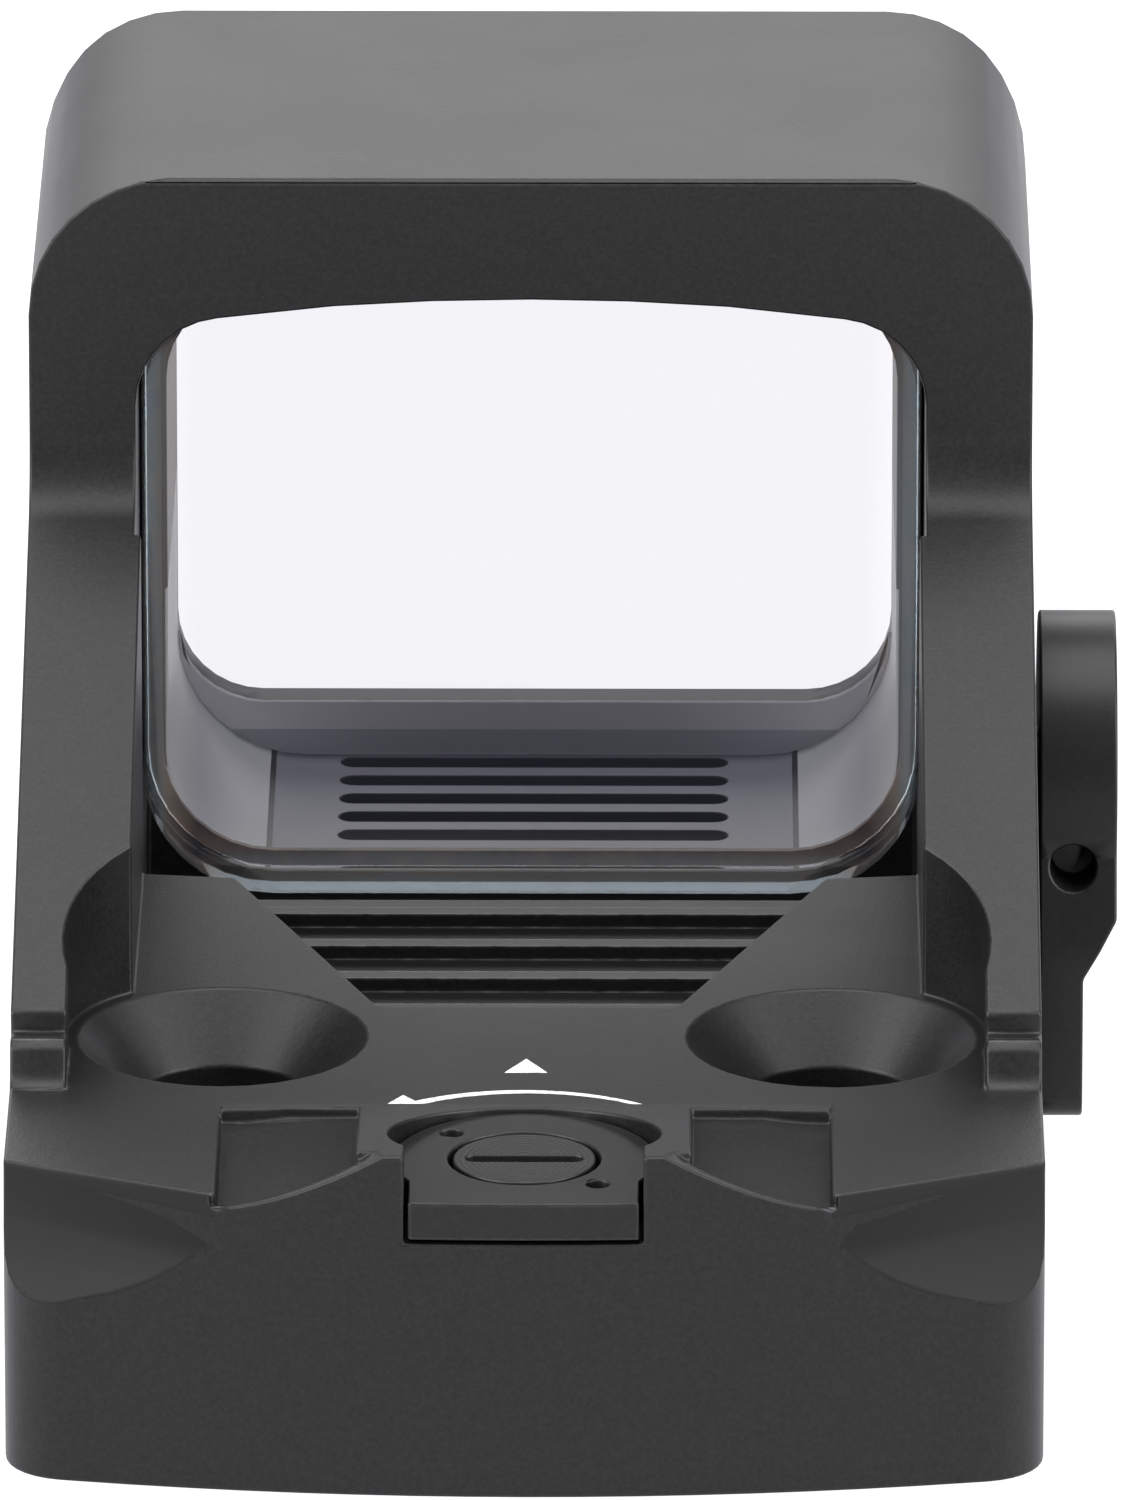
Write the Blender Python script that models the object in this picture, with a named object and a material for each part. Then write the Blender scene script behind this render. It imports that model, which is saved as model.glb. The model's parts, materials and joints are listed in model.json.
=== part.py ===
"""A micro reflex red dot finder: a one-piece machined housing with a hooded window lens, a slotted
elevation screw in the rear deck, a windage screw in the right side, a side-loading battery tray with
its thumbscrew, two brightness buttons, and the emitter slides and electronics that they work on.

Origin: centre of the housing's flat base. +X is the right-hand side, +Y is the front (the window's
far side) and +Z is up. Sizes are in millimetres, and places along the sight are measured from its
rear face by along().
"""

import math

import bmesh
import bpy
from mathutils import Matrix

MM = 0.001
COLLECTION = "red_dot_finder"
STEPS = 32

# Overall sizes
WIDTH = 24.0
LENGTH = 40.2
TOP = 23.5
DECK = 7.2
GAP = 0.1
RUN = 0.12
NUDGE = 0.01
JOIN = 0.2
OVER = 1.0

# Plan outline
REAR_BULGE = 1.0
REAR_BULGE_HALF = 10.4
REAR_CORNER = 1.6
FRONT_CORNER = 1.5

# Hood and the columns that carry it
HOOD_LENGTH = 13.9
HOOD_CORNER = 3.4
BROW = 7.6
COLUMN_FOOT = 9.1
COLUMN_FOOT_Z = 8.7
FOOT_STEP = 0.9
FOOT_DROP_Z = 8.0
COLUMN_INNER = 9.3
FOOT_INNER = 10.7

# Window and lens
SEAT_HALF = 9.45
SEAT_BOTTOM = 4.9
SEAT_TOP = 20.5
SEAT_FRONT = 30.0
SEAT_LOW_CORNER = 3.2
SEAT_HIGH_CORNER = 2.2
ARCH = 0.7
BORE_HALF = 8.8
BORE_BOTTOM = 6.0
BORE_TOP = 19.9
BORE_CORNER = 2.1
FRONT_FLOOR = 4.6
CAVITY_CORNER = 3.2
FRONT_LIP = 1.0
LENS_THICK = 2.0
BOND_THICK = 0.2
BOND_WIDTH = 0.5

# Anti-glare slots in the floor ahead of the lens
SLOTS = 7
SLOT_FIRST = 0.45
SLOT_PITCH = 1.36
SLOT_WIDE = 0.7
SLOT_DEEP = 0.3
SLOT_HALF = 4.75

# Mounting holes
BOLT_X = 7.12
BOLT_FROM_REAR = 11.35
BOLT_BORE = 1.95
BOLT_SINK = 3.4
BOLT_SINK_DEEP = 1.45
DRIVER_ROOM = 3.7

# Rear deck: ears beside the sighting notch, valleys behind the bolt collars, scooped corners
EAR_TOP = 8.3
EAR_SHOULDER = 0.6
SWEEP_BLEND = 0.1
SWEEP_POWER = 1.6
EAR_OUTER = 3.85
EAR_RUN = 7.4
LIP_THICK = 0.6
VALLEY_FLOOR = 6.2
VALLEY_HIGH = 7.05
VALLEY_RUN = 6.2
VALLEY_END = 7.07
COLLAR = 5.4
LIP_LOW = 6.9
SCOOP_SIDE_Y = 2.9
SCOOP_REAR_X = 6.6
SCOOP_REAR_Y = 0.4
SCOOP_WIDE = 1.9
SCOOP_TALL = 3.5
SCOOP_TOP = 7.6

# Pocket behind the lens and its ribbed floor plate
POCKET_REAR = 13.45
POCKET_REAR_HALF = 3.5
POCKET_FRONT = 22.6
POCKET_FRONT_HALF = 7.05
POCKET_FLOOR = 4.45
PLATE_THICK = 0.35
RIB_TALL = 0.35
RIB_WIDE = 0.5
RIB_FIRST = 1.85
RIB_PITCH = 2.3
RIBS = 6

# Elevation turret in the deck
TURRET_FROM_REAR = 3.1
TURRET_R = 3.05
TURRET_THICK = 0.9
TAIL_HALF = 2.65
SPANNER_HOLE_R = 0.28
SPANNER_HOLE_AT = 2.4
DIAL_R = 1.65
DIAL_THICK = 0.75
DRIVER_SLOT_WIDE = 0.42
DRIVER_SLOT_DEEP = 0.4
SHANK_R = 0.8

# Emitter chamber, cradle (windage) and holder (elevation)
CHAMBER_HALF = 2.9
CHAMBER_REAR = 2.2
CHAMBER_FLOOR = 1.0
CHAMBER_TOP = 5.4
CHAMBER_FRONT = 21.0
NOSE_HALF = 2.5
NOSE_REAR = 9.0
NOSE_TOP = 6.4
CRADLE_HALF = 2.3
CRADLE_REAR = 2.4
CRADLE_FRONT = 10.6
CRADLE_LOW = 1.3
CRADLE_WALL = 0.3
CRADLE_BASE = 0.6
CRADLE_TALL = 2.3
HOLDER_HALF = 1.8
HOLDER_LOW = 2.3
HOLDER_TALL = 1.9
HOLDER_FRONT = 12.8
UPRIGHT_HALF = 1.4
UPRIGHT_THICK = 1.5
UPRIGHT_TOP = 6.05
ADJUST_TRAVEL = 0.2
LED_R = 0.5
LED_LONG = 0.45
LED_DROP = 0.55
COIL_R = 0.45
COIL_WIRE = 0.1
COIL_TURNS = 4
COIL_STEPS = 12
COIL_BORE = 0.7
SPRING_FROM_REAR = 6.9
SPRING_ROOF = 0.35
SPRING_CLEAR = 0.05
SPRING_BORE_LONG = 2.4

# Windage screw in the right side
WINDAGE_FROM_REAR = 5.5
WINDAGE_Z = 3.0
WINDAGE_HEAD_R = 1.5
WINDAGE_HEAD = 0.9

# Bottom cover
COVER_DEEP = 0.97
COVER_THICK = 0.7
GASKET_THICK = 0.14
GASKET_GAP = 0.03
COVER_TAIL_HALF = 4.2
COVER_TAIL_REAR = 1.2
COVER_SHOULDER = 16.0
COVER_HALF = 10.4
COVER_FRONT = 39.2
COVER_CORNER = 1.0
COVER_SCREWS = ((-8.9, 17.7), (8.9, 17.7), (-8.9, 37.8), (8.9, 37.8))
COVER_SCREW_R = 0.45
COVER_SCREW_HEAD_R = 0.85
COVER_SCREW_HEAD = 0.4
COVER_SCREW_LONG = 3.0

# Electronics chamber on the left
BOARD_BAY_LEFT = -10.2
BOARD_BAY_RIGHT = -7.2
BOARD_BAY_REAR = 19.0
BOARD_BAY_FRONT = 36.0
BOARD_BAY_TOP = 4.3
CHANNEL_FRONT = 22.0
CHANNEL_TOP = 3.9
BOARD_X = -9.0
BOARD_THICK = 0.7
BOARD_REAR = 20.0
BOARD_FRONT = 35.5
BOARD_LOW = 1.2
BOARD_HIGH = 4.15
CHIP = (0.7, 3.2, 2.0)
CHIP_FROM_REAR = 24.0
CHIP_LOW = 1.6
SOLDER = 0.02
SWITCH_R = 0.75
SWITCH_TALL = 0.55
FLEX_Z = 3.2
FLEX_THICK = 0.15
FLEX_HALF = 0.8
FLEX_FROM_REAR = 20.5
FLEX_END = 13.3

# Brightness buttons in the left side
BUTTONS = (("button_down", 25.0), ("button_up", 31.5))
BUTTON_Z = 3.0
BUTTON_R = 1.2
BUTTON_HALF = 1.1
BUTTON_PROUD = 0.35
BUTTON_FLANGE = 0.35
BUTTON_FOOT_X = -10.3
FLANGE_X = -11.15
FLANGE_GROW = 0.15

# Battery bay, tray and cell
CELL_R = 6.25
CELL_THICK = 2.0
CELL_FROM_REAR = 30.1
CELL_Z = 1.5
BAY_LEFT = -CELL_R - 0.45
BAY_HALF = CELL_R + 0.75
BAY_LOW = 1.05
BAY_TOP = 4.0
BAY_OPEN_RIGHT = 9.4
TRAY_HALF = CELL_R + 0.5
TRAY_LEFT = -CELL_R - 0.2
TRAY_LOW = 1.2
TRAY_TOP = CELL_Z + CELL_THICK + 0.02
TRAY_FLOOR = 0.25
CONTACT_Z = 3.62
CONTACT_THICK = 0.15
CONTACT_HALF = 0.9
CONTACT_END = 1.0
CONTACT_ROOM = 0.3
GROUND_FAR = 3.9
GROUND_NEAR = 2.7
GROUND_Z = 2.2
SEAL_WIDE = 0.5
SEAL_THICK = 0.6
SEAL_GROW = 0.65
SEAL_CORNER = 0.5
SEAL_CLEAR = 0.07

# Side plate of the tray, the thick boss over it and the thumbscrew sunk in the boss
PLATE_STAND = 0.2
PLATE_REAR = 22.6
PLATE_FRONT = 38.0
PLATE_LOW = 1.0
PLATE_HIGH = 5.3
PLATE_OUT = 1.05
BOSS_OUT = 1.85
BOSS_LOW = 4.4
BOSS_TAPER_TOP = 6.0
BOSS_TAPER_FOOT = 4.6
LOBE_FROM_REAR = 27.0
LOBE_Z = 8.6
LOBE_R = 3.7
PRY_R = 0.55
PRY_X = 0.8
PRY_Z = 7.2
PRY_DEEP = 1.2
KNOB_R = 2.6
KNOB_THICK = 0.65
KNOB_SUNK = 0.05
KNOB_SHANK_R = 0.9
KNOB_SHANK = 2.3
KNOB_SLOT_WIDE = 0.8
KNOB_SLOT_DEEP = 0.4

HALF = WIDTH / 2
HOOD_REAR = LENGTH - HOOD_LENGTH
BROW_Z = TOP - BROW
LENS_REAR = SEAT_FRONT - GAP - BOND_THICK - GAP - LENS_THICK
TURRET_LOW = DECK - TURRET_THICK
PLATE_X = HALF + PLATE_STAND
BOSS_X = PLATE_X + BOSS_OUT
KNOB_X = BOSS_X - KNOB_SUNK - KNOB_THICK


def along(distance):
    """Y of a place that is this far ahead of the rear face."""
    return distance - LENGTH / 2


# ---------------------------------------------------------------- outlines

def rounded(corners):
    """Closed outline through (a, b, radius) corners, each turned into an arc of its radius."""
    points = []
    count = len(corners)
    for i, (a, b, radius) in enumerate(corners):
        if radius == 0:
            points.append((a, b))
            continue
        pa, pb, _ = corners[i - 1]
        na, nb, _ = corners[(i + 1) % count]
        back = math.atan2(pb - b, pa - a)
        ahead = math.atan2(nb - b, na - a)
        turn = (ahead - back + math.pi) % (2 * math.pi) - math.pi
        reach = radius / math.sin(abs(turn) / 2)
        middle = back + turn / 2
        ca = a + reach * math.cos(middle)
        cb = b + reach * math.sin(middle)
        sweep = math.pi - abs(turn)
        first = middle + math.pi + math.copysign(sweep / 2, turn)
        steps = max(2, round(STEPS * sweep / (2 * math.pi)))
        for k in range(steps + 1):
            angle = first - math.copysign(sweep * k / steps, turn)
            points.append((ca + radius * math.cos(angle), cb + radius * math.sin(angle)))
    return points


def rectangle(a0, a1, b0, b1, radius=0.0):
    return rounded([(a0, b0, radius), (a1, b0, radius), (a1, b1, radius), (a0, b1, radius)])


def slot_outline(a, b, half, radius):
    """A slot along the first axis: a straight of twice half, with round ends."""
    ends = []
    for side, start in ((1, -math.pi / 2), (-1, math.pi / 2)):
        for k in range(STEPS // 4 + 1):
            angle = start + math.pi * k / (STEPS // 4)
            ends.append((a + side * half + radius * math.cos(angle), b + radius * math.sin(angle)))
    return ends


def mirrored(points):
    return [(-a, b) for a, b in reversed(points)]


# ---------------------------------------------------------------- solids

def material(name, colour, rough, metal):
    made = bpy.data.materials.get(name) or bpy.data.materials.new(name)
    made.use_nodes = True
    shader = made.node_tree.nodes["Principled BSDF"]
    shader.inputs["Base Color"].default_value = (*colour, 1.0)
    shader.inputs["Roughness"].default_value = rough
    shader.inputs["Metallic"].default_value = metal
    return made


def link(name, mesh, collection):
    made = bpy.data.objects.new(name, mesh)
    bpy.data.collections[collection].objects.link(made)
    if collection == "cutters":
        made.hide_render = True
        made.display_type = "WIRE"
    return made


AXES = {
    "X": Matrix(((0, 0, 1), (1, 0, 0), (0, 1, 0))).to_4x4(),
    "Y": Matrix(((1, 0, 0), (0, 0, -1), (0, 1, 0))).to_4x4(),
    "Z": Matrix.Identity(4),
}


def prism(name, outline, axis, low, high, collection="cutters"):
    """Filled outline extruded along an axis. The outline holds the other two coordinates in order."""
    curve = bpy.data.curves.new(name, "CURVE")
    curve.dimensions = "2D"
    curve.fill_mode = "BOTH"
    curve.extrude = abs(high - low) / 2 * MM
    spline = curve.splines.new("POLY")
    spline.points.add(len(outline) - 1)
    for point, (a, b) in zip(spline.points, outline):
        point.co = (a * MM, b * MM, 0, 1)
    spline.use_cyclic_u = True
    shape = bpy.data.objects.new(name + "_outline", curve)
    bpy.context.scene.collection.objects.link(shape)
    evaluated = shape.evaluated_get(bpy.context.evaluated_depsgraph_get())
    mesh = bpy.data.meshes.new_from_object(evaluated)
    bpy.data.objects.remove(shape)
    mesh.name = name
    middle = (low + high) / 2 * MM
    move = {"X": (middle, 0, 0), "Y": (0, middle, 0), "Z": (0, 0, middle)}[axis]
    mesh.transform(Matrix.Translation(move) @ AXES[axis])
    work = bmesh.new()
    work.from_mesh(mesh)
    bmesh.ops.remove_doubles(work, verts=work.verts, dist=0.001 * MM)
    bmesh.ops.recalc_face_normals(work, faces=work.faces)
    work.to_mesh(mesh)
    work.free()
    return link(name, mesh, collection)


def box(name, x, y, z, collection="cutters"):
    """A box between (low, high) pairs along each axis."""
    work = bmesh.new()
    bmesh.ops.create_cube(work, size=1.0)
    size = [(high - low) * MM for low, high in (x, y, z)]
    centre = [(high + low) / 2 * MM for low, high in (x, y, z)]
    bmesh.ops.transform(
        work, matrix=Matrix.Translation(centre) @ Matrix.Diagonal((*size, 1)), verts=work.verts
    )
    mesh = bpy.data.meshes.new(name)
    work.to_mesh(mesh)
    work.free()
    return link(name, mesh, collection)


def cone(name, axis, centre, low, high, r_low, r_high, collection="cutters", steps=STEPS):
    """A round solid along an axis, between low and high on it, centred on the other two values."""
    work = bmesh.new()
    bmesh.ops.create_cone(
        work, cap_ends=True, segments=steps, radius1=r_low * MM, radius2=r_high * MM,
        depth=(high - low) * MM,
    )
    a, b = centre
    middle = (low + high) / 2
    place = {"X": (middle, a, b), "Y": (a, middle, b), "Z": (a, b, middle)}[axis]
    turn = {
        "X": Matrix.Rotation(math.pi / 2, 4, "Y"),
        "Y": Matrix.Rotation(-math.pi / 2, 4, "X"),
        "Z": Matrix.Identity(4),
    }[axis]
    move = Matrix.Translation([value * MM for value in place])
    bmesh.ops.transform(work, matrix=move @ turn, verts=work.verts)
    mesh = bpy.data.meshes.new(name)
    work.to_mesh(mesh)
    work.free()
    return link(name, mesh, collection)


def rod(name, axis, centre, low, high, radius, collection="cutters", steps=STEPS):
    return cone(name, axis, centre, low, high, radius, radius, collection, steps)


def combine(target, tools, operation="DIFFERENCE", solver="EXACT"):
    """Cuts or joins the tools. MANIFOLD is for the pieces with many cuts, where EXACT leaves gaps."""
    for tool in tools:
        change = target.modifiers.new(tool.name, "BOOLEAN")
        change.operation = operation
        change.solver = solver
        change.object = tool
    return target


def finish(piece, surface, pivot=None):
    """Gives a piece its material and smooth shading, and moves its origin to a pivot."""
    piece.data.materials.clear()
    piece.data.materials.append(surface)
    piece.data.shade_smooth()
    piece.data.set_sharp_from_angle(angle=math.radians(30))
    if pivot:
        move = Matrix.Translation([value * MM for value in pivot])
        piece.data.transform(move.inverted())
        piece.matrix_world = move
    return piece


# ---------------------------------------------------------------- housing

def plan_outline():
    radius = REAR_BULGE_HALF**2 / (2 * REAR_BULGE)
    rear = []
    for k in range(17):
        x = REAR_BULGE_HALF * (k / 8 - 1)
        rear.append((x, along(x * x / (2 * radius)), 0))
    slope = REAR_BULGE_HALF / radius
    corner_y = along(REAR_BULGE + (HALF - REAR_BULGE_HALF) * slope)
    front = along(LENGTH)
    return rounded(
        rear
        + [
            (HALF, corner_y, REAR_CORNER),
            (HALF, front, FRONT_CORNER),
            (-HALF, front, FRONT_CORNER),
            (-HALF, corner_y, REAR_CORNER),
        ]
    )


def side_outline():
    return rounded(
        [
            (along(-OVER), -OVER, 0),
            (along(LENGTH + OVER), -OVER, 0),
            (along(LENGTH + OVER), TOP, 0),
            (along(HOOD_REAR), TOP, 0.25),
            (along(HOOD_REAR), BROW_Z, 2.0),
            (along(COLUMN_FOOT), COLUMN_FOOT_Z, 0.25),
            (along(COLUMN_FOOT - FOOT_STEP), FOOT_DROP_Z, 0.25),
            (along(COLUMN_FOOT - FOOT_STEP - 0.3), DECK, 0.5),
            (along(-OVER), DECK, 0),
        ]
    )


def front_outline():
    return rounded(
        [(-HALF, 0, 0), (HALF, 0, 0), (HALF, TOP, HOOD_CORNER), (-HALF, TOP, HOOD_CORNER)]
    )


def window_outline(half, low, high, low_corner, high_corner):
    """The window's shape in X and Z: round corners, and a top edge arched by ARCH."""
    bow = [(half * (1 - k / 4), high - ARCH * (1 - k / 4) ** 2, 0) for k in range(1, 8)]
    return rounded(
        [(-half, low, low_corner), (half, low, low_corner), (half, high - ARCH, high_corner)]
        + bow[1:-1]
        + [(-half, high - ARCH, high_corner)]
    )


def ear_ramps():
    """The wedge behind the bolts that rises to the notch's ears at the rear face."""
    outline = [
        (along(-OVER), DECK - OVER),
        (along(EAR_RUN), DECK - OVER),
        (along(EAR_RUN), DECK - GAP),
        (along(0.3), EAR_TOP),
        (along(-OVER), EAR_TOP),
    ]
    wedge = prism("ear_wedge", outline, "X", -VALLEY_END, VALLEY_END)
    return combine(wedge, [prism("wedge_plan", plan_outline(), "Z", 0, TOP)], "INTERSECT")


def valley(side):
    """The hollow between a bolt's collar, an ear and the rear lip."""
    points = [(EAR_OUTER, along(LIP_THICK)), (VALLEY_END, along(LIP_THICK))]
    for k in range(13):
        x = VALLEY_END - (VALLEY_END - EAR_OUTER) * k / 12
        reach = math.sqrt(COLLAR**2 - (BOLT_X - x) ** 2)
        points.append((x, along(BOLT_FROM_REAR) - reach))
    if side < 0:
        points = mirrored(points)
    slope = (VALLEY_HIGH - VALLEY_FLOOR) / (VALLEY_RUN - LIP_THICK)
    ramp = [
        (along(LIP_THICK - OVER), VALLEY_FLOOR - slope * OVER),
        (along(VALLEY_RUN), VALLEY_HIGH),
        (along(VALLEY_RUN), TOP + OVER),
        (along(LIP_THICK - OVER), TOP + OVER),
    ]
    hollow = prism("valley", points, "Z", VALLEY_FLOOR - OVER, TOP)
    return combine(hollow, [prism("valley_ramp", ramp, "X", -HALF, HALF)], "INTERSECT")


def lip_shoulder(side):
    """Cuts the rear lip down from the ear to the low point beside the scoop."""
    start = EAR_OUTER - EAR_SHOULDER
    end = VALLEY_END + SWEEP_BLEND
    points = [(start, EAR_TOP)]
    for k in range(9):
        t = k / 8
        x = start + (end - start) * t
        points.append((x, LIP_LOW + (EAR_TOP - LIP_LOW) * (1 - t) ** SWEEP_POWER))
    points += [(end, TOP), (start, TOP)]
    if side < 0:
        points = mirrored(points)
    return prism("lip_shoulder", points[1:], "Y", along(-OVER), along(LIP_THICK + GAP))


def scoop(side):
    """A rear corner's hollow: a quarter ellipse swept along the line from the side to the rear."""
    run_x = HALF - SCOOP_REAR_X
    run_y = SCOOP_SIDE_Y - SCOOP_REAR_Y
    angle = math.atan2(run_y, run_x)
    points = []
    for k in range(11):
        turn = math.pi / 2 * k / 10
        out = SCOOP_WIDE * (1 - math.cos(turn))
        points.append((out, SCOOP_TOP - SCOOP_TALL * math.sin(turn)))
    points += [(8.0, SCOOP_TOP - SCOOP_TALL), (8.0, TOP), (0.0, TOP)]
    tool = prism("scoop", [(-a, b) for a, b in reversed(points)], "X", -12.0, 12.0)
    place = Matrix.Translation((side * SCOOP_REAR_X * MM, along(SCOOP_REAR_Y) * MM, 0))
    tool.data.transform(place @ Matrix.Rotation(side * angle, 4, "Z"))
    return tool


def pocket_outline(inset):
    half = COLUMN_INNER - inset
    rear = along(POCKET_REAR + inset)
    front = along(LENS_REAR - GAP if inset else SEAT_FRONT - 0.5)
    right = [
        (POCKET_REAR_HALF - inset * 0.8, rear, 0.4),
        (POCKET_FRONT_HALF - inset, along(POCKET_FRONT + inset * 0.5), 0),
        (half, along(POCKET_FRONT + 0.3 + inset), 0),
        (half, front, 0),
    ]
    left = [(-a, b, r) for a, b, r in reversed(right)]
    return rounded(right + left)


def cover_outline(inset):
    return rounded(
        [
            (-COVER_TAIL_HALF + inset, along(COVER_TAIL_REAR + inset), COVER_CORNER),
            (COVER_TAIL_HALF - inset, along(COVER_TAIL_REAR + inset), COVER_CORNER),
            (COVER_TAIL_HALF - inset, along(COVER_SHOULDER + inset), COVER_CORNER),
            (COVER_HALF - inset, along(COVER_SHOULDER + inset), COVER_CORNER),
            (COVER_HALF - inset, along(COVER_FRONT - inset), COVER_CORNER),
            (-COVER_HALF + inset, along(COVER_FRONT - inset), COVER_CORNER),
            (-COVER_HALF + inset, along(COVER_SHOULDER + inset), COVER_CORNER),
            (-COVER_TAIL_HALF + inset, along(COVER_SHOULDER + inset), COVER_CORNER),
        ]
    )


def bay_boxes(low):
    """The chambers that open into the bottom cover: emitter, channel, electronics and battery."""
    cell = along(CELL_FROM_REAR)
    return [
        box("emitter_chamber", (-CHAMBER_HALF, CHAMBER_HALF),
            (along(CHAMBER_REAR), along(CHAMBER_FRONT)), (low, CHANNEL_TOP)),
        box("channel", (BOARD_BAY_LEFT, CHAMBER_HALF),
            (along(BOARD_BAY_REAR), along(CHANNEL_FRONT)), (low, CHANNEL_TOP - NUDGE)),
        box("board_bay", (BOARD_BAY_LEFT + NUDGE, BOARD_BAY_RIGHT),
            (along(BOARD_BAY_REAR + NUDGE), along(BOARD_BAY_FRONT)), (low, BOARD_BAY_TOP)),
        box("battery_bay", (BAY_LEFT, BAY_OPEN_RIGHT), (cell - BAY_HALF, cell + BAY_HALF),
            (low, BAY_TOP)),
    ]


def bolt_tools(side):
    x = side * BOLT_X
    y = along(BOLT_FROM_REAR)
    slope = (BOLT_SINK - BOLT_BORE) / BOLT_SINK_DEEP
    return [
        rod("bolt_bore", "Z", (x, y), -OVER, TOP, BOLT_BORE),
        cone("countersink", "Z", (x, y), DECK - BOLT_SINK_DEEP, DECK + 0.2, BOLT_BORE,
             BOLT_SINK + 0.2 * slope),
        rod("driver_room", "Z", (x, y), DECK, TOP + OVER, DRIVER_ROOM, steps=48),
    ]


def glare_slots():
    first = SEAT_FRONT + SLOT_FIRST
    tools = []
    for k in range(SLOTS):
        outline = slot_outline(0, along(first + k * SLOT_PITCH), SLOT_HALF - SLOT_WIDE / 2,
                               SLOT_WIDE / 2)
        tools.append(prism(f"glare_slot_{k}", outline, "Z", FRONT_FLOOR - SLOT_DEEP, DECK))
    return tools


def button_tools():
    tools = []
    for name, place in BUTTONS:
        outline = slot_outline(along(place), BUTTON_Z, BUTTON_HALF, BUTTON_R + RUN)
        tools.append(prism(name + "_hole", outline, "X", -HALF - OVER, BOARD_BAY_LEFT + OVER))
        wide = slot_outline(along(place), BUTTON_Z, BUTTON_HALF, BUTTON_R + FLANGE_GROW + GAP)
        tools.append(prism(name + "_flange_room", wide, "X", FLANGE_X - GAP, BOARD_BAY_LEFT + OVER / 2))
    return tools


def turret_recess(grow):
    """Plan of the turret plate: a disc whose squared tail runs back through the notch."""
    half = TAIL_HALF + grow
    radius = TURRET_R + grow
    start = math.asin(half / radius)
    points = [(half, along(-OVER))]
    for k in range(29):
        angle = -math.pi / 2 + start + (2 * math.pi - 2 * start) * k / 28
        points.append((radius * math.cos(angle), along(TURRET_FROM_REAR) + radius * math.sin(angle)))
    return points + [(-half, along(-OVER))]


def battery_tools():
    cell = along(CELL_FROM_REAR)
    mouth = rectangle(cell - TRAY_HALF - SEAL_GROW, cell + TRAY_HALF + SEAL_GROW,
                      TRAY_LOW - SEAL_GROW + GAP, TRAY_TOP + SEAL_GROW + GAP, SEAL_CORNER + GAP)
    wall = (BOARD_BAY_RIGHT - CONTACT_ROOM, BAY_LEFT + CONTACT_ROOM)
    room = CONTACT_ROOM
    return [
        box("tray_slot", (BAY_LEFT, HALF + OVER), (cell - BAY_HALF + NUDGE, cell + BAY_HALF - NUDGE),
            (BAY_LOW, TRAY_TOP + 0.2)),
        prism("seal_seat", mouth, "X", HALF - SEAL_THICK - GAP, HALF + OVER),
        box("contact_window", wall, (cell - CONTACT_HALF - room, cell + CONTACT_HALF + room),
            (CONTACT_Z - room, BAY_TOP - 2 * NUDGE)),
        box("ground_window", wall, (cell - GROUND_FAR - room, cell - GROUND_NEAR + room),
            (GROUND_Z - room, GROUND_Z + CONTACT_THICK + room)),
        rod("knob_thread", "X", (along(LOBE_FROM_REAR), LOBE_Z), HALF - KNOB_SHANK, HALF + OVER,
            KNOB_SHANK_R + RUN),
    ]


def windage_tools():
    place = (along(WINDAGE_FROM_REAR), WINDAGE_Z)
    return [
        rod("windage_counterbore", "X", place, HALF - WINDAGE_HEAD - GAP, HALF + OVER,
            WINDAGE_HEAD_R + RUN),
        rod("windage_bore", "X", place, CHAMBER_HALF - JOIN, HALF, SHANK_R + RUN),
        rod("windage_spring_bore", "X", place, -CHAMBER_HALF - SPRING_BORE_LONG,
            -CHAMBER_HALF + JOIN, COIL_BORE),
    ]


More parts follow.
